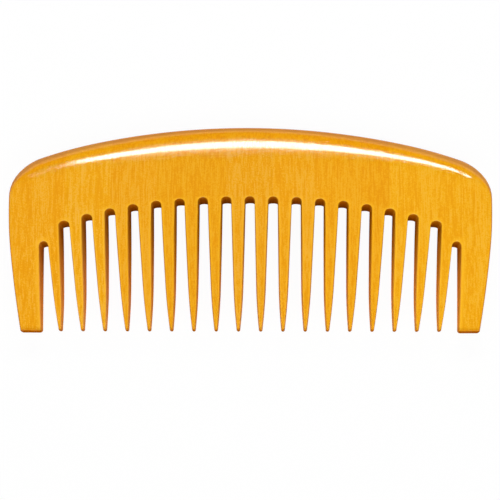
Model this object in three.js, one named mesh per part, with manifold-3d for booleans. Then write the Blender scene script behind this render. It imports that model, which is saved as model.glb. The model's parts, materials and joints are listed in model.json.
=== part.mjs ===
// A wide-tooth wooden comb, lying flat on its back face. Millimetres, +Z up.
// X runs along the comb, Y from the tooth tips up to the spine, Z through the thickness.
// The grain runs along the teeth, so the blank is a row of staves glued edge to edge.
// Each glue line starts at the top of a slot and runs straight up to the spine.
import * as THREE from "three";
import { mergeVertices } from "three/addons/utils/BufferGeometryUtils.js";
import Module from "manifold-3d";

const wasm = await Module();
wasm.setup();
const { degToRad, lerp, smoothstep } = THREE.MathUtils;

// Overall size
const LENGTH = 170;
const HEIGHT = 73.7;
const THICKNESS = 12;
const FOOT_Y = -HEIGHT / 2;

// Outline: arcs that run into each other, from the middle of the spine round to an end tooth's foot.
// A heading is the way an arc's edge faces, turned from +Y towards +X.
const SPINE_RADIUS = 258;
const SHOULDER_RADIUS = 155;
const CORNER_RADIUS = 15.2;
const SIDE_RADIUS = 184;
const FLANK_RADIUS = 416;
const FOOT_RADIUS = 0.8;
const SHOULDER_END = degToRad(19.9);
const CORNER_END = degToRad(90);
const SIDE_END = degToRad(96.2);
const FOOT_END = degToRad(180);
const STEPS_PER_ARC = 8;
// The spine slopes a little, and stands higher at its left end
const SPINE_LEAN = 0.0062;

// Edge rounding: how far it reaches in from the outline. The spine is crowned, most in the middle.
// The crown falls off along the comb and fades out round the corners.
const CROWN_INSET = 21.2;
const CROWN_LENGTH = 50;
const CROWN_FALL = 0.73;
const FADE_START = degToRad(28);
const FADE_END = degToRad(98);
const SIDE_INSET = 0.7;
const ROUND_STEPS = 12;

// Both faces are planed to a wedge from below the slot tops down to the tips
const TIP_THICKNESS = 4.5;
const TAPER_RISE = 34;

// Slim teeth, measured by their rise above the foot line. They lean in a little towards the tips.
const TEETH = 18;
const ROOT_PITCH = 8.23;
const TIP_PITCH = 7.77;
const ROOT_RISE = 46;
const TIP_RISE = 0.4;
const TIP_RADIUS = 0.64;
const POINT_RISE = 17;
const POINT_WIDTH = 3.45;
const FLANK_SLOPE = 0.0255;

// Slots: their tops follow an arch, and the two outermost stop lower
const SLOTS = TEETH + 1;
const MIDDLE_SLOT = (SLOTS - 1) / 2;
const SLOT_TOP_RISE = 47.27;
const ARCH_DROP = 0.0595;
const ARCH_POWER = 2.4;
const OUTER_SLOT_DROP = 4.4;
const SLOT_TOP_FLATNESS = 0.85;
const END_TOOTH_INNER = 72.5;
const END_TOOTH_LEAN = 0.04;
const CURVE_SEGMENTS = 5;

// Staves from left to right: how many slim teeth each holds, and the tone of its lacquered wood
const STAVES = [
  { name: "left_end_stave", teeth: 1, color: 0xf3a90d },
  { name: "stave_2", teeth: 2, color: 0xf4ac10 },
  { name: "stave_3", teeth: 2, color: 0xf1a60a },
  { name: "stave_4", teeth: 3, color: 0xefa507 },
  { name: "stave_5", teeth: 2, color: 0xf0a70d },
  { name: "stave_6", teeth: 2, color: 0xf2a80b },
  { name: "stave_7", teeth: 3, color: 0xf2a707 },
  { name: "right_end_stave", teeth: 3, color: 0xf6ae0a },
];
const ROUGHNESS = 0.35;

// How far cutters reach past what they cut
const REACH = 2;
// Points of a shape that are nearer than this are one point
const WELD_DISTANCE = 1e-5;

// A closed geometry as a solid that can be joined and cut.
function solidOf(geometry) {
  const bare = geometry.index ? geometry.toNonIndexed() : geometry.clone();
  bare.deleteAttribute("normal");
  bare.deleteAttribute("uv");
  const merged = mergeVertices(bare, WELD_DISTANCE);
  const mesh = new wasm.Mesh({
    numProp: 3,
    vertProperties: merged.getAttribute("position").array,
    triVerts: new Uint32Array(merged.index.array),
  });
  return new wasm.Manifold(mesh);
}

function geometryOf(solid) {
  const mesh = solid.getMesh();
  const geometry = new THREE.BufferGeometry();
  geometry.setAttribute("position", new THREE.BufferAttribute(mesh.vertProperties, 3));
  geometry.setIndex(new THREE.BufferAttribute(mesh.triVerts, 1));
  geometry.computeVertexNormals();
  return geometry;
}

// The spine's arc ends where the arcs that follow it just reach half the length.
function spineEnd() {
  const shoulderReach = (SHOULDER_RADIUS - CORNER_RADIUS) * Math.sin(SHOULDER_END);
  const spineReach = LENGTH / 2 - CORNER_RADIUS - shoulderReach;
  return Math.asin(spineReach / (SPINE_RADIUS - SHOULDER_RADIUS));
}

// The right half of the outline, as points with the heading of the edge at each one.
function halfOutline() {
  const arcs = [
    { radius: SPINE_RADIUS, end: spineEnd() },
    { radius: SHOULDER_RADIUS, end: SHOULDER_END },
    { radius: CORNER_RADIUS, end: CORNER_END },
    { radius: SIDE_RADIUS, end: SIDE_END },
    { radius: FLANK_RADIUS, end: null },
    { radius: FOOT_RADIUS, end: FOOT_END },
  ];
  const centre = new THREE.Vector2(0, HEIGHT / 2);
  const points = [];
  let heading = 0;
  let lastRadius = 0;
  for (const { radius, end } of arcs) {
    const shift = lastRadius - radius;
    centre.x += shift * Math.sin(heading);
    centre.y += shift * Math.cos(heading);
    // The flank runs down until the foot's own arc just reaches the foot line.
    const footRise = FOOT_Y + FOOT_RADIUS - centre.y;
    const arcEnd = end ?? Math.acos(footRise / (FLANK_RADIUS - FOOT_RADIUS));
    for (let step = points.length ? 1 : 0; step <= STEPS_PER_ARC; step++) {
      const facing = lerp(heading, arcEnd, step / STEPS_PER_ARC);
      points.push({
        x: centre.x + radius * Math.sin(facing),
        y: centre.y + radius * Math.cos(facing),
        heading: facing,
      });
    }
    heading = arcEnd;
    lastRadius = radius;
  }
  return points;
}

// An outline point moved up or down for the sloping spine. The feet stay where they are.
function leaned({ x, y, heading }) {
  const lean = (SPINE_LEAN * (y - FOOT_Y)) / HEIGHT;
  return { x, y: y - lean * x, heading: heading + lean * Math.cos(heading) ** 2 };
}

// The whole outline, clockwise from the middle of the spine.
function wholeOutline() {
  const right = halfOutline();
  const left = right.slice(1).reverse();
  const mirrored = left.map(({ x, y, heading }) => ({ x: -x, y, heading: -heading }));
  return [...right, ...mirrored].map(leaned);
}

// How far the rounding reaches in from a point of the outline.
function insetAt(x, heading) {
  const fade = smoothstep(Math.abs(heading), FADE_START, FADE_END);
  const crown = CROWN_INSET * (1 + (x / CROWN_LENGTH) ** 2) ** -CROWN_FALL;
  return SIDE_INSET + crown * (1 - fade);
}

// The blank before its teeth are cut: the outline with a rounded edge, as a stack of rings.
function blankGeometry() {
  const outline = wholeOutline();
  const count = outline.length;
  const positions = [];
  const triangles = [];
  for (let ring = 0; ring <= ROUND_STEPS; ring++) {
    const angle = lerp(-Math.PI / 2, Math.PI / 2, ring / ROUND_STEPS);
    const z = (THICKNESS / 2) * (1 + Math.sin(angle));
    for (const { x, y, heading } of outline) {
      const inset = insetAt(x, heading) * (1 - Math.cos(angle));
      positions.push(x - inset * Math.sin(heading), y - inset * Math.cos(heading), z);
    }
  }
  for (let ring = 0; ring < ROUND_STEPS; ring++) {
    for (let i = 0; i < count; i++) {
      const here = ring * count + i;
      const next = ring * count + ((i + 1) % count);
      triangles.push(here, here + count, next, next, here + count, next + count);
    }
  }
  const top = ROUND_STEPS * count;
  const contour = outline.map((_, i) => {
    return new THREE.Vector2(positions[3 * (top + i)], positions[3 * (top + i) + 1]);
  });
  for (const [a, b, c] of THREE.ShapeUtils.triangulateShape(contour, [])) {
    triangles.push(top + a, top + b, top + c);
    triangles.push(c, b, a);
  }
  const geometry = new THREE.BufferGeometry();
  geometry.setAttribute("position", new THREE.Float32BufferAttribute(positions, 3));
  geometry.setIndex(triangles);
  return geometry;
}

// Centre distance of neighbouring teeth at a rise above the foot line.
function pitchAt(rise) {
  return lerp(TIP_PITCH, ROOT_PITCH, (rise - TIP_RISE) / (ROOT_RISE - TIP_RISE));
}

// Half a slim tooth's width above its pointed end, where its sides are straight.
function halfWidthAt(rise) {
  return POINT_WIDTH / 2 + FLANK_SLOPE * (rise - POINT_RISE);
}

// A point on one edge of a slim tooth. The side is -1 for its left edge and 1 for its right.
function toothEdge(tooth, side, rise, halfWidth) {
  const centre = (tooth - (TEETH - 1) / 2) * pitchAt(rise);
  return new THREE.Vector2(centre + side * halfWidth, FOOT_Y + rise);
}

// The pointed end's start, the control point of its curve and the start of the round tip.
function toothPoint(tooth, side) {
  const tipCentre = TIP_RISE + TIP_RADIUS;
  const middle = (POINT_RISE + tipCentre) / 2;
  return {
    start: toothEdge(tooth, side, POINT_RISE, POINT_WIDTH / 2),
    control: toothEdge(tooth, side, middle, halfWidthAt(middle)),
    tip: toothEdge(tooth, side, tipCentre, TIP_RADIUS),
  };
}

function endToothEdge(side, rise) {
  return new THREE.Vector2(side * (END_TOOTH_INNER + END_TOOTH_LEAN * rise), FOOT_Y + rise);
}

function slotTopRise(slot) {
  const fromMiddle = Math.abs(slot - MIDDLE_SLOT);
  const outer = fromMiddle === MIDDLE_SLOT ? OUTER_SLOT_DROP : 0;
  return SLOT_TOP_RISE - ARCH_DROP * fromMiddle ** ARCH_POWER - outer;
}

// Where the rounded top of a slot starts on its left and right side.
function slotShoulders(slot) {
  const halfPitch = pitchAt(slotTopRise(slot)) / 2;
  const rise = slotTopRise(slot) - SLOT_TOP_FLATNESS * (halfPitch - halfWidthAt(slotTopRise(slot)));
  const left = slot === 0 ? endToothEdge(-1, rise) : toothEdge(slot - 1, 1, rise, halfWidthAt(rise));
  const last = slot === SLOTS - 1;
  const right = last ? endToothEdge(1, rise) : toothEdge(slot, -1, rise, halfWidthAt(rise));
  return { left, right };
}

// All that is cut away between the end teeth, seen from above: the slots and a strip below the tips.
function cutawayShape() {
  const shape = new THREE.Shape();
  const below = endToothEdge(-1, -REACH);
  shape.moveTo(below.x, below.y);
  for (let slot = 0; slot < SLOTS; slot++) {
    const { left, right } = slotShoulders(slot);
    if (slot > 0) {
      const { start, control } = toothPoint(slot - 1, 1);
      shape.quadraticCurveTo(control.x, control.y, start.x, start.y);
    }
    shape.lineTo(left.x, left.y);
    const radius = (right.x - left.x) / 2;
    shape.absellipse(left.x + radius, left.y, radius, SLOT_TOP_FLATNESS * radius, Math.PI, 0, true);
    if (slot < SLOTS - 1) {
      const { start, control, tip } = toothPoint(slot, -1);
      shape.lineTo(start.x, start.y);
      shape.quadraticCurveTo(control.x, control.y, tip.x, tip.y);
      shape.absarc(tip.x + TIP_RADIUS, tip.y, TIP_RADIUS, Math.PI, 2 * Math.PI, false);
    }
  }
  shape.lineTo(-below.x, below.y);
  shape.closePath();
  return shape;
}

function cutawayGeometry() {
  const geometry = new THREE.ExtrudeGeometry(cutawayShape(), {
    depth: THICKNESS + 2 * REACH,
    bevelEnabled: false,
    curveSegments: CURVE_SEGMENTS,
  });
  return geometry.translate(0, 0, -REACH);
}

// The wedge planed off one face, drawn in Y and Z and drawn out along X.
function taperGeometry(faceZ, outward) {
  const slope = (THICKNESS - TIP_THICKNESS) / 2 / TAPER_RISE;
  const shape = new THREE.Shape();
  shape.moveTo(FOOT_Y + TAPER_RISE + REACH, faceZ + outward * slope * REACH);
  shape.lineTo(FOOT_Y - REACH, faceZ - outward * slope * (TAPER_RISE + REACH));
  shape.lineTo(FOOT_Y - REACH, faceZ + outward * REACH);
  shape.lineTo(FOOT_Y + TAPER_RISE + REACH, faceZ + outward * REACH);
  shape.closePath();
  const depth = LENGTH + 2 * REACH;
  const geometry = new THREE.ExtrudeGeometry(shape, { depth, bevelEnabled: false });
  const axes = new THREE.Matrix4().makeBasis(
    new THREE.Vector3(0, 1, 0),
    new THREE.Vector3(0, 0, 1),
    new THREE.Vector3(1, 0, 0),
  );
  return geometry.translate(0, 0, -depth / 2).applyMatrix4(axes);
}

// The length of comb that one stave takes up, as a box that reaches past it on the other sides.
function staveSlab(fromX, toX) {
  const slab = new THREE.BoxGeometry(toX - fromX, HEIGHT + 2 * REACH, THICKNESS + 2 * REACH);
  return slab.translate((fromX + toX) / 2, 0, THICKNESS / 2);
}

// The X of the glue line over a slot, which is the middle of the slot's top.
function glueLineX(slot) {
  const { left, right } = slotShoulders(slot);
  return (left.x + right.x) / 2;
}

function wholeComb() {
  return solidOf(blankGeometry())
    .subtract(solidOf(cutawayGeometry()))
    .subtract(solidOf(taperGeometry(THICKNESS, 1)))
    .subtract(solidOf(taperGeometry(0, -1)));
}

function buildComb() {
  const comb = wholeComb();
  const group = new THREE.Group();
  let teethSoFar = 0;
  let fromX = -LENGTH / 2 - REACH;
  for (const { name, teeth, color } of STAVES) {
    teethSoFar += teeth;
    const toX = teethSoFar < TEETH ? glueLineX(teethSoFar) : LENGTH / 2 + REACH;
    const stave = comb.intersect(solidOf(staveSlab(fromX, toX)));
    const material = new THREE.MeshStandardMaterial({ color, roughness: ROUGHNESS, metalness: 0 });
    const mesh = new THREE.Mesh(geometryOf(stave), material);
    mesh.name = name;
    group.add(mesh);
    fromX = toX;
  }
  return group;
}

export default buildComb();
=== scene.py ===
import json
import math

import bmesh
import bpy
import numpy as np
from mathutils import Euler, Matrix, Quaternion, Vector


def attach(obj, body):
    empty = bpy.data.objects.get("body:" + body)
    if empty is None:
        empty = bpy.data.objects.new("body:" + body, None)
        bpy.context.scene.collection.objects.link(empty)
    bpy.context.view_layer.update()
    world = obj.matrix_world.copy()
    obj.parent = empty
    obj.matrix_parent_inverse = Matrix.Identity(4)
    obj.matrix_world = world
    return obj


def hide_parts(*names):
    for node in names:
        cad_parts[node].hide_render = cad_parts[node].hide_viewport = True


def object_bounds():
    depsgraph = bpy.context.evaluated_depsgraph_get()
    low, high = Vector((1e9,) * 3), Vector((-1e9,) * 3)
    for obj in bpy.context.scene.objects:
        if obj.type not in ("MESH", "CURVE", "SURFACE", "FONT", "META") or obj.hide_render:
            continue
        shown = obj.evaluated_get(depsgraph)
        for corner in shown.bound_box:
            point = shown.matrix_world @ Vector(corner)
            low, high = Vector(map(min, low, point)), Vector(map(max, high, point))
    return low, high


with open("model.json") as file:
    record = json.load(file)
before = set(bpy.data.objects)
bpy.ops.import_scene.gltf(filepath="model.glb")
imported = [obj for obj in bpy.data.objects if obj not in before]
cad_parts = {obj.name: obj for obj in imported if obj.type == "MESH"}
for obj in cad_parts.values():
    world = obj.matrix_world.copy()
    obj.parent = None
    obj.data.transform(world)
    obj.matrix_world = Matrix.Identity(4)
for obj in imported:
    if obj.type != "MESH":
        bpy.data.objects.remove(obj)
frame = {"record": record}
cad_low, cad_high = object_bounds()

# A lacquered wooden wide-tooth comb lying on a white table. Metres, as in the frame:
# X runs along the comb, Y from the tooth tips up to the spine, Z through the thickness.
# Each glued stave of the CAD part is replaced by a finer mesh with rounded edges.
MM = 0.001
LENGTH, HEIGHT, THICKNESS = cad_high - cad_low
FOOT_Y = cad_low.y
MID_Z = (cad_low.z + cad_high.z) / 2

# Outline: arcs that run into each other, from the middle of the spine to an end tooth's foot.
# A heading is the way an edge faces, turned from +Y towards +X.
SPINE_RADIUS = 258 * MM
SHOULDER_RADIUS = 155 * MM
CORNER_RADIUS = 15.2 * MM
SIDE_RADIUS = 184 * MM
FLANK_RADIUS = 416 * MM
FOOT_RADIUS = 0.8 * MM
SHOULDER_END = math.radians(19.9)
CORNER_END = math.radians(90)
SIDE_END = math.radians(96.2)
FOOT_END = math.radians(180)
STEPS_PER_ARC = 120
OUTLINE_STEPS = 600
# The spine slopes a little, and stands higher at its left end
SPINE_LEAN = 0.0062

# Edge rounding: how far it reaches in from the outline, and how far down from the face.
# The spine is crowned, most in the middle. The crown falls off along the comb and fades out
# round the corners, down to the slight rounding of the sides.
CROWN_INSET = 21.2 * MM
CROWN_LENGTH = 50 * MM
CROWN_FALL = 0.73
FADE_START = math.radians(28)
FADE_END = math.radians(98)
SIDE_INSET = 0.7 * MM
SIDE_DROP = 1.2 * MM

# Slot edges: the rounding gets wider from a slot's top down over some depth, but takes up no more
# than a share of a tooth's half width. Towards the tips of the slim teeth it also gets deeper, up
# to a share of the thickness, so that their section turns oval.
SLOT_TOP_INSET = 0.25 * MM
TOOTH_INSET = 0.55 * MM
TOOTH_INSET_DEPTH = 14 * MM
NARROW_SHARE = 0.75
WALL_DROP = 1.0 * MM
TIP_DROP_SHARE = 0.46
OVAL_RISE = 28 * MM
OVAL_POWER = 1.3

# Both faces are planed to a wedge towards the tips, with a soft start
TIP_THICKNESS = 4.5 * MM
TAPER_RISE = 34 * MM
TAPER_BLEND = 4 * MM

# Slim teeth, measured by their rise above the foot line
TEETH = 18
ROOT_PITCH = 8.23 * MM
TIP_PITCH = 7.77 * MM
ROOT_RISE = 46 * MM
TIP_RISE = 0.4 * MM
TIP_RADIUS = 0.64 * MM
TIP_CENTRE_RISE = TIP_RISE + TIP_RADIUS
POINT_RISE = 17 * MM
POINT_WIDTH = 3.45 * MM
FLANK_SLOPE = 0.0255
# Where the underside of a round tip passes into its two sides, as angles from +X
TIP_LEFT, TIP_RIGHT = -math.pi * 3 / 4, -math.pi / 4

# Slots: their tops follow an arch, and the two outermost stop lower.
# Each top is round at the front face and flatter behind.
SLOTS = TEETH + 1
MIDDLE_SLOT = (SLOTS - 1) / 2
SLOT_TOP_RISE = 47.27 * MM
ARCH_DROP = 0.0595 * MM
ARCH_POWER = 2.4
OUTER_SLOT_DROP = 4.4 * MM
FRONT_FLATNESS = 0.85
BACK_FLATNESS = 0.3
END_TOOTH_INNER = 72.5 * MM
END_TOOTH_LEAN = 0.04
INNER_FOOT_RADIUS = 0.9 * MM

# Staves from left to right, with how many teeth each holds, end teeth among them
STAVES = (
    ("left_end_stave", 2),
    ("stave_2", 2),
    ("stave_3", 2),
    ("stave_4", 3),
    ("stave_5", 2),
    ("stave_6", 2),
    ("stave_7", 3),
    ("right_end_stave", 4),
)

# Mesh rows along a tooth: tip corner, pointed end, flank, slot top, and back up to the spine
TIP_ROWS, POINT_ROWS, FLANK_ROWS, ARCH_ROWS, BACK_ROWS = 4, 14, 12, 8, 12
WALL_ROWS = TIP_ROWS + POINT_ROWS + FLANK_ROWS + ARCH_ROWS
ROWS = WALL_ROWS + BACK_ROWS

# Mesh points across a row, as shares of its width. A row runs level beside its two ends.
EDGE_SHARE, LEVEL_SHARE, INNER_SHARE = 0.04, 0.2, 0.35
LEFT_SHARES = np.array([0, EDGE_SHARE, LEVEL_SHARE, INNER_SHARE])
ACROSS = np.concatenate([LEFT_SHARES, [0.5], 1 - LEFT_SHARES[::-1]])
# How close each of them is to the left end: 1 at the end, 0 past the level part
BESIDE_LEFT = np.clip(1 - ACROSS / LEVEL_SHARE, 0, 1)

# Turns of a rounding, from a quarter turn at the face to none at the wall. They are spaced so
# that a crown this deep, as a share of its width, curves in even steps.
ROUND_STEPS = 12
CROWN_DEPTH_SHARE = 0.46
FACINGS = np.linspace(math.pi / 2, 0, ROUND_STEPS + 1)
TURNS = np.arctan2(CROWN_DEPTH_SHARE * np.sin(FACINGS), np.cos(FACINGS))

# The heading at which an end tooth's outer side passes into the spine
CORNER_SPLIT = math.radians(44)
WELD_DISTANCE = 0.5e-6
SHARP_ANGLE = math.radians(50)

# Slot walls are bare sawn wood, and so are the very ends of the teeth, up to this rise. Both take the
# painted shade and light of the walls.
CUT_RISE = 1.2 * MM


def lerp(a, b, share):
    return a + (b - a) * share


def smoothstep(value, low, high):
    share = np.clip((value - low) / (high - low), 0, 1)
    return share * share * (3 - 2 * share)


def facing(heading):
    return np.stack([np.sin(heading), np.cos(heading)], -1)


def lengths_along(points):
    """How far along a row of points each of them lies."""
    return np.concatenate([[0], np.cumsum(np.linalg.norm(np.diff(points, axis=0), axis=1))])


def half_outline():
    """Points and headings from the middle of the spine to an end tooth's foot. Each arc starts on
    the last one's end, and the flank goes on until the foot's arc touches the foot line."""
    shoulder_reach = (SHOULDER_RADIUS - CORNER_RADIUS) * math.sin(SHOULDER_END)
    spine_reach = LENGTH / 2 - CORNER_RADIUS - shoulder_reach
    arcs = (
        (SPINE_RADIUS, math.asin(spine_reach / (SPINE_RADIUS - SHOULDER_RADIUS))),
        (SHOULDER_RADIUS, SHOULDER_END),
        (CORNER_RADIUS, CORNER_END),
        (SIDE_RADIUS, SIDE_END),
        (FLANK_RADIUS, None),
        (FOOT_RADIUS, FOOT_END),
    )
    centre = np.array([0.0, FOOT_Y + HEIGHT])
    heading = 0.0
    last_radius = 0.0
    points = []
    headings = []
    for radius, end in arcs:
        centre = centre + (last_radius - radius) * facing(heading)
        if end is None:
            end = math.acos((FOOT_Y + FOOT_RADIUS - centre[1]) / (FLANK_RADIUS - FOOT_RADIUS))
        sweep = np.linspace(heading, end, STEPS_PER_ARC + 1)[1 if points else 0:]
        points.append(centre + radius * facing(sweep))
        headings.append(sweep)
        heading = end
        last_radius = radius
    return np.concatenate(points), np.concatenate(headings)


HALF_POINTS, HALF_HEADINGS = half_outline()
OUTLINE = np.concatenate([HALF_POINTS[:0:-1] * (-1, 1), HALF_POINTS])
HEADINGS = np.concatenate([-HALF_HEADINGS[:0:-1], HALF_HEADINGS])
# The lean lowers the outline towards the right, more so higher up, and turns its headings with it
LEANS = SPINE_LEAN * (OUTLINE[:, 1] - FOOT_Y) / HEIGHT
OUTLINE[:, 1] -= LEANS * OUTLINE[:, 0]
HEADINGS += LEANS * np.cos(HEADINGS) ** 2
STATIONS = lengths_along(OUTLINE)


def thickness_at(y):
    """The comb's thickness, full at the back and wedged towards the tips."""
    below = TAPER_RISE - (y - FOOT_Y)
    soft = np.where(below < TAPER_BLEND, (below + TAPER_BLEND) ** 2 / (4 * TAPER_BLEND), below)
    soft = np.where(below < -TAPER_BLEND, 0, soft)
    return THICKNESS - (THICKNESS - TIP_THICKNESS) / TAPER_RISE * soft


def outline_at(stations):
    """Points, normals and edge rounding at distances along the outline, from the left foot on."""
    points = np.stack([np.interp(stations, STATIONS, OUTLINE[:, i]) for i in (0, 1)], -1)
    headings = np.interp(stations, STATIONS, HEADINGS)
    fade = smoothstep(np.abs(headings), FADE_START, FADE_END)
    crown = CROWN_INSET * (1 + (points[:, 0] / CROWN_LENGTH) ** 2) ** -CROWN_FALL
    inset = SIDE_INSET + crown * (1 - fade)
    drop = lerp(THICKNESS / 2, SIDE_DROP, fade)
    return points, facing(headings), inset, drop


def station_at_x(x, turn):
    """Where the spine's rounded edge, at one turn of its rounding, crosses the plane at x."""
    near = np.abs(HEADINGS) <= CORNER_SPLIT
    points, normals, inset, _ = outline_at(STATIONS[near])
    edge_x = points[:, 0] - normals[:, 0] * inset * (1 - math.cos(turn))
    return np.interp(x, edge_x, STATIONS[near])


def pitch_at(rise):
    return lerp(TIP_PITCH, ROOT_PITCH, (rise - TIP_RISE) / (ROOT_RISE - TIP_RISE))


def flank_half_width(rise):
    return POINT_WIDTH / 2 + FLANK_SLOPE * (rise - POINT_RISE)


def tooth_edge(tooth, side, rise, half_width):
    """Points on one edge of a slim tooth: side is -1 for its left edge and 1 for its right."""
    centre = (tooth - (TEETH - 1) / 2) * pitch_at(rise)
    return np.stack([centre + side * half_width, FOOT_Y + rise], -1)


def end_tooth_edge(side, rise):
    return np.stack([side * (END_TOOTH_INNER + END_TOOTH_LEAN * rise), FOOT_Y + rise], -1)


def slot_top_rise(slot):
    from_middle = abs(slot - MIDDLE_SLOT)
    outer = OUTER_SLOT_DROP if from_middle == MIDDLE_SLOT else 0
    return SLOT_TOP_RISE - ARCH_DROP * from_middle ** ARCH_POWER - outer


def slot_shoulders(slot, flatness):
    """Where the rounded top of a slot starts on its left and right side."""
    top = slot_top_rise(slot)
    rise = top - flatness * (pitch_at(top) / 2 - flank_half_width(top))
    half_width = flank_half_width(rise)
    left = end_tooth_edge(-1, rise) if slot == 0 else tooth_edge(slot - 1, 1, rise, half_width)
    last = slot == SLOTS - 1
    right = end_tooth_edge(1, rise) if last else tooth_edge(slot, -1, rise, half_width)
    return left, right


def slot_line_x(slot):
    left, right = slot_shoulders(slot, FRONT_FLATNESS)
    return (left[0] + right[0]) / 2


def tip_arc(tooth, angles):
    """The round tip of a slim tooth, at angles turned from +X."""
    centre = tooth_edge(tooth, 0, TIP_CENTRE_RISE, 0)
    return centre + TIP_RADIUS * np.stack([np.cos(angles), np.sin(angles)], -1)


def slim_wall(tooth, side, shoulder_rise):
    """One side of a slim tooth from its tip up to a slot's shoulder, and its half widths."""
    start, end = (TIP_RIGHT, 0) if side > 0 else (TIP_LEFT, -math.pi)
    tip = tip_arc(tooth, np.linspace(start, end, TIP_ROWS + 1))
    share = np.linspace(0, 1, POINT_ROWS + 1)[1:]
    rise = lerp(TIP_CENTRE_RISE, POINT_RISE, share)
    bend = 2 * share * (1 - share) * flank_half_width((TIP_CENTRE_RISE + POINT_RISE) / 2)
    point_width = (1 - share) ** 2 * TIP_RADIUS + bend + share ** 2 * POINT_WIDTH / 2
    flank_rise = np.linspace(POINT_RISE, shoulder_rise, FLANK_ROWS + 1)[1:]
    flank_width = flank_half_width(flank_rise)
    widths = np.concatenate([np.full(TIP_ROWS + 1, TIP_RADIUS), point_width, flank_width])
    point = tooth_edge(tooth, side, rise, point_width)
    flank = tooth_edge(tooth, side, flank_rise, flank_width)
    return np.concatenate([tip, point, flank]), widths


def end_wall(side, shoulder_rise):
    """The inner side of an end tooth from its foot up to a slot's shoulder, and its half widths."""
    angles = np.linspace(-math.pi / 2, 0, TIP_ROWS + 1)
    centre = end_tooth_edge(side, INNER_FOOT_RADIUS) + (side * INNER_FOOT_RADIUS, 0)
    corner = centre + INNER_FOOT_RADIUS * np.stack([-side * np.cos(angles), np.sin(angles)], -1)
    rise = np.linspace(INNER_FOOT_RADIUS, shoulder_rise, POINT_ROWS + FLANK_ROWS + 1)[1:]
    points = np.concatenate([corner, end_tooth_edge(side, rise)])
    return points, np.full(len(points), LENGTH / 2 - END_TOOTH_INNER)


def wall_normals(points, side, first):
    """Normals along a slot's wall, out of the wood. The first is given, the last faces down."""
    tangents = np.gradient(points, lengths_along(points), axis=0)
    tangents /= np.linalg.norm(tangents, axis=1)[:, None]
    normals = np.stack([-side * tangents[:, 1], side * tangents[:, 0]], -1)
    normals[0] = first
    normals[-1] = (0, -1)
    return normals


def slot_wall(slot, side, flatness):
    """The wall of a slot from below up to the middle of its top, with normals and edge rounding.
    The side is -1 for the slot's left wall and 1 for its right one."""
    left, right = slot_shoulders(slot, flatness)
    shoulder = right if side > 0 else left
    shoulder_rise = shoulder[1] - FOOT_Y
    slim = slot > 0 if side < 0 else slot < SLOTS - 1
    if slim:
        points, widths = slim_wall(slot if side > 0 else slot - 1, -side, shoulder_rise)
        first_angle = TIP_LEFT if side > 0 else TIP_RIGHT
    else:
        points, widths = end_wall(side, shoulder_rise)
        first_angle = -math.pi / 2
    angles = np.linspace(0, math.pi / 2, ARCH_ROWS + 1)[1:]
    arch_x = lerp(slot_line_x(slot), shoulder[0], np.cos(angles))
    arch_y = lerp(shoulder[1], FOOT_Y + slot_top_rise(slot), np.sin(angles))
    points = np.concatenate([points, np.stack([arch_x, arch_y], -1)])
    widths = np.concatenate([widths, np.full(ARCH_ROWS, widths[-1])])
    normals = wall_normals(points, side, (math.cos(first_angle), math.sin(first_angle)))
    rise = points[:, 1] - FOOT_Y
    down = smoothstep(shoulder_rise - rise, 0, TOOTH_INSET_DEPTH)
    inset = np.minimum(lerp(SLOT_TOP_INSET, TOOTH_INSET, down), NARROW_SHARE * widths)
    near_tip = np.clip(1 - rise / OVAL_RISE, 0, 1) ** OVAL_POWER * slim
    drop = lerp(WALL_DROP, TIP_DROP_SHARE * thickness_at(points[:, 1]), near_tip)
    return points, normals, inset, drop


def half_rim(boundary):
    """Rings of points over a rounded edge, from the front face down to the upright wall.
    The boundary gives its points, normals, inset and drop at a turn of the rounding."""
    rings = []
    for turn in TURNS:
        points, normals, inset, drop = boundary(turn)
        flat = points - normals * (inset * (1 - math.cos(turn)))[:, None]
        rise = thickness_at(flat[:, 1]) / 2 - drop * (1 - math.sin(turn))
        rings.append(np.column_stack([flat, MID_Z + rise]))
    return np.array(rings)


def face_line(boundary):
    """The line where the rounding of a boundary meets the face."""
    points, normals, inset, _ = boundary
    return points - normals * inset[:, None]


def mirrored(points):
    return points * (1, 1, -1) + (0, 0, 2 * MID_Z)


def back_line(slot):
    """Front-face points from the top of a slot straight up to the spine's rounding."""
    low = FOOT_Y + slot_top_rise(slot) + SLOT_TOP_INSET
    station = station_at_x(slot_line_x(slot), TURNS[0])
    high = face_line(outline_at(np.array([station])))[0, 1]
    y = np.linspace(low, high, BACK_ROWS + 1)[1:]
    return np.column_stack([np.full(BACK_ROWS, slot_line_x(slot)), y])


def outline_rows(side, match_y):
    """Stations along an end tooth's outer side, from its foot to its corner, at matching heights."""
    first, last = np.interp((side * FOOT_END, side * CORNER_SPLIT), HEADINGS, STATIONS)
    stations = np.linspace(first, last, OUTLINE_STEPS)
    heights = outline_at(stations)[0][:, 1]
    share = (match_y - match_y[0]) / (match_y[-1] - match_y[0])
    return np.interp(lerp(heights[0], heights[-1], share), heights, stations)


def row_level():
    """How far each point across a row has gone from its left height to its right one."""
    return smoothstep(ACROSS, LEVEL_SHARE, 1 - LEVEL_SHARE)


def bottom_edge(column, left, right):
    """The edge below a column: a round tip, or the flat foot of an end tooth.
    Left and right are the boundaries that it starts and ends on."""
    left_points, _, left_inset, left_drop = left
    right_points, _, right_inset, right_drop = right
    if 0 < column < SLOTS:
        angles = np.linspace(TIP_LEFT, TIP_RIGHT, len(ACROSS))
        points = tip_arc(column - 1, angles)
        normals = np.stack([np.cos(angles), np.sin(angles)], -1)
    else:
        points = lerp(left_points[:1], right_points[:1], ACROSS[:, None])
        normals = np.tile((0.0, -1.0), (len(ACROSS), 1))
    inset = lerp(left_inset[0], right_inset[0], row_level())
    drop = lerp(left_drop[0], right_drop[0], row_level())
    return points, normals, inset, drop


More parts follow.
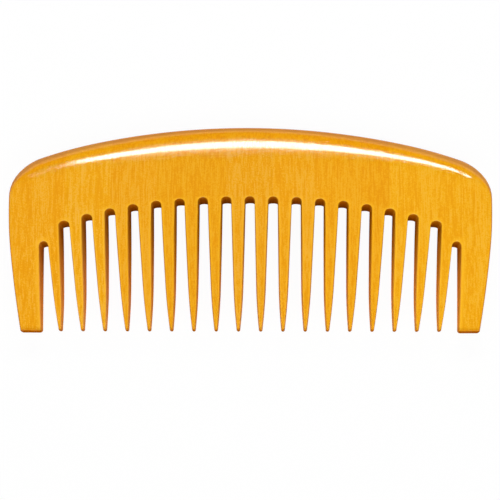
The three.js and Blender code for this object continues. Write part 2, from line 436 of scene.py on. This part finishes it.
def clear_of_arch(x):
    """A boundary's x by row, held at the slot's shoulder over the arch and then led back."""
    shoulder = x[WALL_ROWS - ARCH_ROWS]
    steady = x.copy()
    steady[WALL_ROWS - ARCH_ROWS:WALL_ROWS] = shoulder
    steady[WALL_ROWS:] = np.linspace(shoulder, x[-1], BACK_ROWS + 1)
    return steady


def face_grid(left, right, bottom, top):
    """The flat face of a column between its four inset edges. Rows meet the slots level."""
    steady = np.stack([clear_of_arch(left[:, 0]), clear_of_arch(right[:, 0])], -1)
    x = lerp(steady[:, :1], steady[:, 1:], ACROSS)
    x += (left[:, :1] - steady[:, :1]) * BESIDE_LEFT
    x += (right[:, :1] - steady[:, 1:]) * BESIDE_LEFT[::-1]
    y = lerp(left[:, 1:], right[:, 1:], row_level())
    grid = np.stack([x, y], -1)
    rows = np.arange(ROWS + 1)
    low = np.clip(1 - rows / TIP_ROWS, 0, 1) ** 2
    high = np.clip(1 - (ROWS - rows) / BACK_ROWS, 0, 1) ** 2
    bottom_shift = (bottom - grid[0]) * low[:, None, None]
    top_shift = (top - grid[-1]) * high[:, None, None]
    grid = grid + bottom_shift + top_shift
    half = thickness_at(grid[..., 1]) / 2
    return np.concatenate([grid, (MID_Z + half)[..., None]], -1)


class Skin:
    """Grids of points that are welded into one closed mesh. Each point also says how bare its
    surface is, 1 on a slot's bare wall, where painted wall shade goes, and how much painted highlight
    it takes, 1 on the face beside a slot."""

    def __init__(self):
        self.points = []
        self.faces = []
        self.bare_and_shaded = []
        self.rim_highlight = []
        self.count = 0

    def add(self, grid, bare_and_shaded, rim_highlight):
        rows, columns = grid.shape[:2]
        index = np.arange(rows * columns).reshape(rows, columns) + self.count
        corners = (index[:-1, :-1], index[1:, :-1], index[1:, 1:], index[:-1, 1:])
        self.points.append(grid.reshape(-1, 3))
        self.faces.append(np.stack(corners, -1).reshape(-1, 4))
        self.bare_and_shaded.append(np.broadcast_to(bare_and_shaded, (rows, columns)).ravel())
        self.rim_highlight.append(np.broadcast_to(rim_highlight, (rows, columns)).ravel())
        self.count += rows * columns

    def mesh(self, name):
        mesh = bpy.data.meshes.new(name)
        faces = np.concatenate(self.faces).tolist()
        mesh.from_pydata(np.concatenate(self.points).tolist(), [], faces)
        for key, values in (("bare_and_shaded", self.bare_and_shaded), ("rim_highlight", self.rim_highlight)):
            layer = mesh.attributes.new(key, "FLOAT", "POINT")
            layer.data.foreach_set("value", np.concatenate(values).astype(np.float32))
        work = bmesh.new()
        work.from_mesh(mesh)
        bmesh.ops.remove_doubles(work, verts=work.verts, dist=WELD_DISTANCE)
        bmesh.ops.recalc_face_normals(work, faces=work.faces)
        work.to_mesh(mesh)
        work.free()
        mesh.shade_smooth()
        mesh.set_sharp_from_angle(angle=SHARP_ANGLE)
        return mesh


def side_of_column(column, side, flatness):
    """The boundary on one side of a column, the line where its rounding meets the face, and where
    the spine's edge takes over."""
    slot = column - 1 if side < 0 else column
    if 0 <= slot < SLOTS:
        wall = slot_wall(slot, -side, flatness)
        line = np.concatenate([face_line(wall), back_line(slot)])
        return wall, line, lambda turn: station_at_x(slot_line_x(slot), turn)
    match_y = side_of_column(column, -side, flatness)[1][:, 1]
    stations = outline_rows(side, match_y)
    wall = outline_at(stations)
    return wall, face_line(wall), lambda turn: stations[-1]


def half_column(column, flatness):
    """The front half of one tooth and the back above it: its four rounded edges and its face."""
    left_wall, left_line, left_top = side_of_column(column, -1, flatness)
    right_wall, right_line, right_top = side_of_column(column, 1, flatness)
    foot = bottom_edge(column, left_wall, right_wall)
    bottom = half_rim(lambda turn: foot)
    top = half_rim(lambda turn: outline_at(lerp(left_top(turn), right_top(turn), ACROSS)))
    return {
        "left": half_rim(lambda turn: left_wall),
        "right": half_rim(lambda turn: right_wall),
        "bottom": bottom,
        "top": top,
        "face": face_grid(left_line, right_line, bottom[0, :, :2], top[0, :, :2]),
    }


def bare_and_shaded_at(turns):
    """How bare a slot's rounded edge is, and so how much painted wall shade it takes. It grows fast
    from the face towards the wall.
    """
    return np.sqrt(np.cos(turns))


def add_edge(skin, edge, in_slot):
    """One rounded edge of a column. Inside a slot and at the very ends of the teeth it is bare."""
    turns = np.concatenate([TURNS, TURNS[::-1]])[:, None]
    rise = edge[..., 1] - FOOT_Y
    bare = np.maximum(in_slot, 1 - smoothstep(rise, 0, CUT_RISE))
    # Bare parts take the painted wall shade, and edges inside a slot a painted highlight towards the
    # face
    skin.add(edge, bare * bare_and_shaded_at(turns), np.sin(turns) * in_slot)


def add_joint_face(skin, front, back, side, end):
    """The glued face of a stave, from the top of a slot up to the spine."""
    chains = []
    for half in (front, back):
        slot_top = half[side][::-1, -1]
        over_face = half["face"][WALL_ROWS:, end]
        chains.append(np.concatenate([slot_top, over_face, half["top"][:, end]]))
    grid = np.stack(chains, 1)
    # Bare wood with painted wall shade along the slot's rounded edge
    bare_and_shaded = np.zeros(len(grid))
    bare_and_shaded[:len(TURNS)] = bare_and_shaded_at(TURNS[::-1])
    # Painted highlight along the slot's rounded edge and on the face beside it
    rim_highlight = np.zeros(len(grid))
    rim_highlight[:len(TURNS)] = np.sin(TURNS[::-1])
    rim_highlight[len(TURNS)] = 1
    skin.add(grid, bare_and_shaded[:, None], rim_highlight[:, None])


def add_column(skin, column, left_joint, right_joint):
    """One tooth and the back above it, with a joint face on each side that ends the stave."""
    front = half_column(column, FRONT_FLATNESS)
    back = {name: mirrored(grid) for name, grid in half_column(column, BACK_FLATNESS).items()}
    in_slot = {"left": column > 0, "right": column < SLOTS, "bottom": False, "top": False}
    for name, inside in in_slot.items():
        add_edge(skin, np.concatenate([front[name], back[name][::-1]]), inside)
    # Painted highlight on the face beside each slot
    rim_highlight = np.zeros((ROWS + 1, len(ACROSS)))
    rim_highlight[:WALL_ROWS + 1] = BESIDE_LEFT * in_slot["left"] + BESIDE_LEFT[::-1] * in_slot["right"]
    for half in (front, back):
        skin.add(half["face"], 0, rim_highlight)
    if left_joint:
        add_joint_face(skin, front, back, "left", 0)
    if right_joint:
        add_joint_face(skin, front, back, "right", -1)


def build_staves():
    pieces = []
    first = 0
    for name, teeth in STAVES:
        last = first + teeth - 1
        skin = Skin()
        for column in range(first, last + 1):
            left_joint = column == first and first > 0
            right_joint = column == last and last < SLOTS
            add_column(skin, column, left_joint, right_joint)
        piece = bpy.data.objects.new(name + "_wood", skin.mesh(name))
        bpy.context.scene.collection.objects.link(piece)
        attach(piece, "root")
        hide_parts(name)
        pieces.append(piece)
        first = last + 1
    return pieces


# Camera: over the teeth, looking down on the front face and a little towards the spine
CAMERA_ELEVATION = math.radians(80)
CAMERA_YAW = math.radians(0.9)
CAMERA_ROLL = math.radians(0.2)
CAMERA_DISTANCE = 0.46
CAMERA_LENS = 93.8
CAMERA_AIM = Vector((0.06 * MM, FOOT_Y + 29.28 * MM, MID_Z))


def add_camera():
    data = bpy.data.cameras.new("camera")
    data.lens = CAMERA_LENS
    camera = bpy.data.objects.new("camera", data)
    tilt = Euler((math.pi / 2 - CAMERA_ELEVATION, CAMERA_YAW, 0)).to_quaternion()
    camera.rotation_euler = (tilt @ Quaternion((0, 0, 1), CAMERA_ROLL)).to_euler()
    camera.location = CAMERA_AIM + tilt @ Vector((0, 0, CAMERA_DISTANCE))
    bpy.context.scene.collection.objects.link(camera)
    bpy.context.scene.camera = camera


class Graph:
    """A node tree that is put together from its inputs."""

    def __init__(self, owner):
        owner.use_nodes = True
        self.tree = owner.node_tree
        self.tree.nodes.clear()

    def add(self, kind, inputs=None, **settings):
        """A new node. Each input is a socket to link or a value to set."""
        node = self.tree.nodes.new("ShaderNode" + kind)
        for key, value in settings.items():
            setattr(node, key, value)
        for key, value in (inputs or {}).items():
            if isinstance(value, bpy.types.NodeSocket):
                self.tree.links.new(value, node.inputs[key])
            else:
                node.inputs[key].default_value = value
        return node

    def math(self, operation, *values):
        return self.add("Math", dict(enumerate(values)), operation=operation).outputs[0]

    def vector_math(self, operation, *values):
        return self.add("VectorMath", dict(enumerate(values)), operation=operation).outputs[0]

    def opposite(self, share):
        return self.math("SUBTRACT", 1.0, share)

    def blend(self, share, first, second, how="MIX"):
        """A colour between two others, or with another laid over it."""
        mix = self.add("Mix", {0: share, 6: first, 7: second}, data_type="RGBA", blend_type=how)
        return mix.outputs[2]

    def noise(self, vector, scale, detail, roughness=0.5):
        inputs = {"Vector": vector, "Scale": scale, "Detail": detail, "Roughness": roughness}
        return self.add("TexNoise", inputs).outputs["Fac"]

    def stretched(self, vector, scale, offset):
        inputs = {"Vector": vector, "Scale": scale, "Location": offset}
        return self.add("Mapping", inputs).outputs[0]

    def span(self, value, low, high, to_low=0.0, to_high=1.0):
        """A value's smooth way from one bound to another, as a new range."""
        inputs = {"Value": value, "From Min": low, "From Max": high}
        inputs |= {"To Min": to_low, "To Max": to_high}
        return self.add("MapRange", inputs, interpolation_type="SMOOTHSTEP").outputs[0]


def new_material(name):
    material = bpy.data.materials.new(name)
    return material, Graph(material)


# Lacquered wood. A tone is a share of the stave's own tone, or of the colour that it is laid over.
# A level is 1 on the flat faces and 0 on upright walls.
# Grain: bands, streaks and flecks along the teeth, and a fine speckle. The shares mix them, in
# that order.
BAND_WIDTH = 7 * MM
STREAK_WIDTH = 0.65 * MM
FLECK_WIDTH = 0.5 * MM
SPECKLE_SIZE = 0.45 * MM
GRAIN_SHARES = (0.13, 0.29, 0.28, 0.3)
STREAK_STRETCH = 0.04
FLECK_STRETCH = 0.07
NOISE_DETAIL = 2.0
STREAK_DETAIL = 3.0
STREAK_ROUGHNESS = 0.6
# The grain sways a little, and each stave shows another stretch of it
WAVE_LENGTH = 18 * MM
WAVE_DEPTH = 0.6 * MM
WAVE_DETAIL = 1.0
NOISE_MEAN = (0.5, 0.5, 0.5)
GRAIN_SHIFT = 0.37
# From the darkest grain to the lightest, with the stave's own tone half way
STREAK_SPAN = (0.446, 0.554)
DARK_STREAK = (0.95, 0.84, 0.0)
LIGHT_STREAK = (1.02, 1.11, 8.0)
# Painted light on the crown's sloping wood: a little more red, much less blue
SLOPE_PAINTED_LIGHT = (1.06, 0.98, 0.2)
SLOPE_LEVELS = (0.93, 0.96)
# Painted shade on steep edges, where the lacquer is thinner too
EDGE_SHADE = (0.72, 0.57, 0.3)
EDGE_LEVELS = (0.74, 0.92)
EDGE_LACQUER = 0.4
# Painted highlight on the faces beside the slots, where the rounded slot edges catch the light
RIM_HIGHLIGHT_TONE = (1.09, 1.25, 5.5)
RIM_HIGHLIGHT_SHARE = 0.8
# Bare wood: painted light and a pink painted reflection of the table low on the teeth, painted shade
# higher up in the slots, dark where it faces along the grain
LOW_WALL_LIGHT = (0.93, 0.83, 14.0)
HIGH_WALL_SHADE = (0.75, 0.69, 4.0)
WALL_SHADE_SPAN = (FOOT_Y + 12 * MM, FOOT_Y + 38 * MM)
END_GRAIN_TONE = (0.5, 0.33, 0.2)
END_GRAIN_FACING = (0.35, 0.95)
# The last bit of the teeth, with painted shade and without lacquer
TIP_SHADE = (0.7, 0.57, 0.3)
TIP_SPAN = (FOOT_Y, FOOT_Y + 2.1 * MM)
# Relief, in metres, and gloss
FLECK_DEPTH = 8e-6
SPECKLE_DEPTH = 10e-6
SPECKLE_SPAN = (0.5, 0.75)
FLECK_SPAN = (0.3, 0.7)
WOOD_ROUGHNESS = (0.4, 0.55)
LACQUER_ROUGHNESS = 0.08
LACQUER_INDEX = 1.65


def shaded(tone, share):
    return (*(min(1.0, t * s) for t, s in zip(tone, share)), 1.0)


def grain_noises(graph, position, number):
    """Bands, streaks, flecks and speckle, for the stave with this number."""
    waves = {"Vector": position, "Scale": 1 / WAVE_LENGTH, "Detail": WAVE_DETAIL}
    sway = graph.add("TexNoise", waves).outputs["Color"]
    centred = graph.vector_math("SUBTRACT", sway, NOISE_MEAN)
    bend = graph.vector_math("MULTIPLY", centred, (WAVE_DEPTH, 0, 0))
    wavy = graph.vector_math("ADD", position, bend)
    shift = (0, number * GRAIN_SHIFT, 0)
    long = graph.stretched(wavy, (1, STREAK_STRETCH, 1), shift)
    short = graph.stretched(wavy, (1, FLECK_STRETCH, 1), shift)
    band = graph.noise(long, 1 / BAND_WIDTH, NOISE_DETAIL)
    streak = graph.noise(long, 1 / STREAK_WIDTH, STREAK_DETAIL, STREAK_ROUGHNESS)
    fleck = graph.noise(short, 1 / FLECK_WIDTH, NOISE_DETAIL)
    speckle = graph.noise(position, 1 / SPECKLE_SIZE, NOISE_DETAIL)
    return band, streak, fleck, speckle


def grain_colour(graph, noises, tone):
    """The colour of the grain on a flat face."""
    mixed = 0.0
    for noise, share in zip(noises, GRAIN_SHARES):
        mixed = graph.math("MULTIPLY_ADD", noise, share, mixed)
    ramp = graph.add("ValToRGB", {"Fac": mixed})
    dark, light = ramp.color_ramp.elements
    dark.position, light.position = STREAK_SPAN
    dark.color = shaded(tone, DARK_STREAK)
    light.color = shaded(tone, LIGHT_STREAK)
    middle = ramp.color_ramp.elements.new(sum(STREAK_SPAN) / 2)
    middle.color = (*tone, 1.0)
    return ramp.outputs[0]


def bare_shaded_colour(graph, height, along_grain, tone):
    """The colour of the bare wood at a height: painted shade higher up in the slots, painted light
    and a pink painted reflection lower down, and darker end grain where it faces along the grain by
    some share.
    """
    higher = graph.span(height, *WALL_SHADE_SPAN)
    wall = graph.blend(higher, shaded(tone, LOW_WALL_LIGHT), shaded(tone, HIGH_WALL_SHADE))
    end_grain = graph.span(along_grain, *END_GRAIN_FACING)
    return graph.blend(end_grain, wall, shaded(tone, END_GRAIN_TONE))


def wood_material(name, tone, number):
    """Fine straight grain along the teeth under a clear lacquer, in one stave's tone."""
    material, graph = new_material(name)
    place = graph.add("TexCoord")
    position = place.outputs["Object"]
    height = graph.add("SeparateXYZ", {0: position}).outputs["Y"]
    normal = graph.add("SeparateXYZ", {0: place.outputs["Normal"]})
    level = graph.math("ABSOLUTE", normal.outputs["Z"])
    along_grain = graph.math("ABSOLUTE", normal.outputs["Y"])
    bare_and_shaded = graph.add("Attribute", attribute_name="bare_and_shaded").outputs["Fac"]
    rim_highlight = graph.add("Attribute", attribute_name="rim_highlight").outputs["Fac"]
    slope_light = graph.span(level, *SLOPE_LEVELS, 1.0, 0.0)
    steep = graph.span(level, *EDGE_LEVELS, 1.0, 0.0)
    edge = graph.math("MULTIPLY", steep, graph.opposite(rim_highlight))
    at_tip = graph.span(height, *TIP_SPAN, 1.0, 0.0)

    noises = grain_noises(graph, position, number)
    colour = grain_colour(graph, noises, tone)
    # Painted light on sloping wood
    colour = graph.blend(slope_light, colour, (*SLOPE_PAINTED_LIGHT, 1.0), "MULTIPLY")
    # Painted shade on steep edges, except where the painted highlight lies
    colour = graph.blend(edge, colour, shaded(tone, EDGE_SHADE))
    # Painted highlight beside the slots
    colour = graph.blend(graph.math("MULTIPLY", rim_highlight, RIM_HIGHLIGHT_SHARE), colour, shaded(tone, RIM_HIGHLIGHT_TONE))
    # Bare wood: painted shade high in the slots, painted light and reflection low down
    colour = graph.blend(bare_and_shaded, colour, bare_shaded_colour(graph, height, along_grain, tone))
    # Painted shade over the last bit of the teeth
    colour = graph.blend(at_tip, colour, (*TIP_SHADE, 1.0), "MULTIPLY")

    _, _, fleck, speckle = noises
    relief = graph.math("MULTIPLY", fleck, FLECK_DEPTH)
    relief = graph.math("MULTIPLY_ADD", graph.span(speckle, *SPECKLE_SPAN), SPECKLE_DEPTH, relief)
    bump = graph.add("Bump", {"Height": relief, "Distance": 1.0}).outputs[0]
    lacquer = graph.span(edge, 0.0, 1.0, 1.0, EDGE_LACQUER)
    lacquer = graph.math("MULTIPLY", lacquer, graph.opposite(bare_and_shaded))
    lacquer = graph.math("MULTIPLY", lacquer, graph.opposite(at_tip))
    shader = graph.add("BsdfPrincipled", {
        "Base Color": colour,
        "Roughness": graph.span(fleck, *FLECK_SPAN, *WOOD_ROUGHNESS),
        "Normal": bump,
        "Specular IOR Level": 0.0,
        "Coat Weight": lacquer,
        "Coat Roughness": LACQUER_ROUGHNESS,
        "Coat IOR": LACQUER_INDEX,
        "Coat Normal": bump,
    })
    graph.add("OutputMaterial", {"Surface": shader.outputs[0]})
    return material


# Round white table with a low backdrop round it. Seen straight or mirrored it is nearly all white.
TABLE_RADIUS = 1.5
TABLE_SIDES = 64
BACKDROP_HEIGHT = 0.4
TABLE_WHITE = 0.96
PAINT = (0.9, 0.9, 0.9, 1)
ROOM_LIGHT = 0.05


def table_material():
    material, graph = new_material("white_table")
    path = graph.add("LightPath")
    seen = graph.math("MAXIMUM", path.outputs["Is Camera Ray"], path.outputs["Is Glossy Ray"])
    seen = graph.math("MAXIMUM", seen, path.outputs["Is Transmission Ray"])
    share = graph.math("MULTIPLY", seen, TABLE_WHITE)
    paint = graph.add("BsdfDiffuse", {"Color": PAINT})
    white = graph.add("Emission")
    mix = graph.add("MixShader", {0: share, 1: paint.outputs[0], 2: white.outputs[0]})
    graph.add("OutputMaterial", {"Surface": mix.outputs[0]})
    return material


def add_stage():
    angles = [math.tau * side / TABLE_SIDES for side in range(TABLE_SIDES)]
    ring = [Vector((TABLE_RADIUS * math.cos(a), TABLE_RADIUS * math.sin(a), 0)) for a in angles]
    raised = [point + Vector((0, 0, BACKDROP_HEIGHT)) for point in ring]
    floor = list(range(TABLE_SIDES))
    upper = [side + TABLE_SIDES for side in floor]
    walls = list(zip(floor, upper, upper[1:] + upper[:1], floor[1:] + floor[:1]))
    mesh = bpy.data.meshes.new("table")
    mesh.from_pydata(ring + raised, [], [floor, *walls])
    mesh.materials.append(table_material())
    table = bpy.data.objects.new("table", mesh)
    bpy.context.scene.collection.objects.link(table)


def add_world():
    world = bpy.data.worlds.new("world")
    bpy.context.scene.world = world
    graph = Graph(world)
    room = graph.add("Background", {"Color": (1, 1, 1, 1), "Strength": ROOM_LIGHT})
    graph.add("OutputWorld", {"Surface": room.outputs[0]})


# Softboxes: name, azimuth from the +Y side towards +X, elevation and roll in degrees, distance and
# size in metres, and power in watts. A strip behind the spine draws the highlight along it, a wide
# one in front lights the face, and a faint one overhead shows in the flat lacquer.
LAMPS = (
    ("strip_softbox", 3, 44.2, 11.35, 0.7, (0.5, 0.098), 2.9),
    ("front_softbox", 180, 48, 0, 1.2, (1.8, 0.8), 15.5),
    ("top_softbox", 0, 80, 0, 1.2, (1.0, 0.8), 0.18),
)


def add_lamp(name, azimuth, elevation, roll, distance, size, power):
    data = bpy.data.lights.new(name, "AREA")
    data.shape = "RECTANGLE"
    data.size, data.size_y = size
    data.energy = power
    lamp = bpy.data.objects.new(name, data)
    away = Euler((math.radians(elevation), 0, -math.radians(azimuth))).to_matrix() @ Vector((0, 1, 0))
    turn = away.to_track_quat("Z", "Y") @ Quaternion((0, 0, 1), math.radians(roll))
    lamp.location = CAMERA_AIM + distance * away
    lamp.rotation_euler = turn.to_euler()
    bpy.context.scene.collection.objects.link(lamp)


tones = {m["slot"]: m["base_color"][:3] for m in frame["record"]["materials"]}
for number, piece in enumerate(build_staves()):
    stave = STAVES[number][0]
    piece.data.materials.append(wood_material(stave + "_lacquer", tones[stave], number))
add_camera()
add_stage()
add_world()
for lamp in LAMPS:
    add_lamp(*lamp)
bpy.context.scene.view_settings.view_transform = "Standard"
